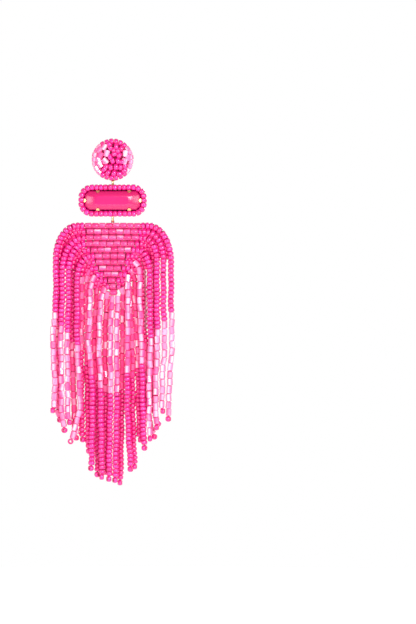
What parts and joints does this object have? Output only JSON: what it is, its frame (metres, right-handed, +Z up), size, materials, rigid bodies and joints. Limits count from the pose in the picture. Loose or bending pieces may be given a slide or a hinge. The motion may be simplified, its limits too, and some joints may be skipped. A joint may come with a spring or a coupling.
{
  "type": "dangle earring",
  "caption": "Long dangle earring: a domed beaded button on an ear post, a stone-set bar on a ring, and a woven bead panel on a second ring with a long bead fringe.",
  "frame": {"origin": "middle of the gold pad's back face, where the ear post leaves it and the earlobe sits", "axes": "+Z up along the hanging earring, -Y towards the viewer (the beaded front), +Y along the ear post"},
  "size_m": [0.0442, 0.0149, 0.1232],
  "materials": {
    "gold_metal": "polished pale gold plate",
    "seed_bead": "opaque hot pink glass, glossy",
    "cut_bead": "pale pink lined cut glass",
    "tube_bead": "raspberry satin glass",
    "stone": "opaque hot pink, polished facets",
    "thread": "waxed beading thread"
  },
  "bodies": {
    "top": {"ear_post": "gold_metal", "button": "seed_bead"},
    "upper_ring": {"ring_upper": "gold_metal"},
    "bar": {"bar_setting": "gold_metal", "bar_stone": "stone", "bar_rim": "seed_bead"},
    "lower_ring": {"ring_lower": "gold_metal"},
    "fringe": {"panel": "tube_bead", "strand_l01": "seed_bead", "strand_l02": "seed_bead", "strand_l03": "seed_bead", "strand_l04": "seed_bead", "strand_l05": "seed_bead", "strand_l06": "seed_bead", "strand_l07": "cut_bead", "strand_l08": "cut_bead", "strand_l09": "cut_bead", "strand_l10": "cut_bead", "strand_l11": "cut_bead", "strand_l12": "cut_bead", "strand_m12": "cut_bead", "strand_r12": "cut_bead", "strand_r11": "cut_bead", "strand_r10": "cut_bead", "strand_r09": "cut_bead", "strand_r08": "cut_bead", "strand_r07": "cut_bead", "strand_r06": "seed_bead", "strand_r05": "seed_bead", "strand_r04": "seed_bead", "strand_r03": "seed_bead", "strand_r02": "seed_bead", "strand_r01": "seed_bead"}
  },
  "joints": [
    {"name": "upper_ring_sway", "type": "hinge", "parent": "top", "child": "upper_ring", "pos_m": [0, 0, -0.00678], "axis": [0, 1, 0], "range_deg": [-15, 15]},
    {"name": "bar_swing", "type": "hinge", "parent": "upper_ring", "child": "bar", "pos_m": [0, 0, -0.00813], "axis": [1, 0, 0], "range_deg": [-25, 40]},
    {"name": "lower_ring_sway", "type": "hinge", "parent": "bar", "child": "lower_ring", "pos_m": [0, 0, -0.01925], "axis": [0, 1, 0], "range_deg": [-8, 8]},
    {"name": "fringe_swing", "type": "hinge", "parent": "lower_ring", "child": "fringe", "pos_m": [0, 0, -0.0206], "axis": [1, 0, 0], "range_deg": [-45, 45]}
  ]
}
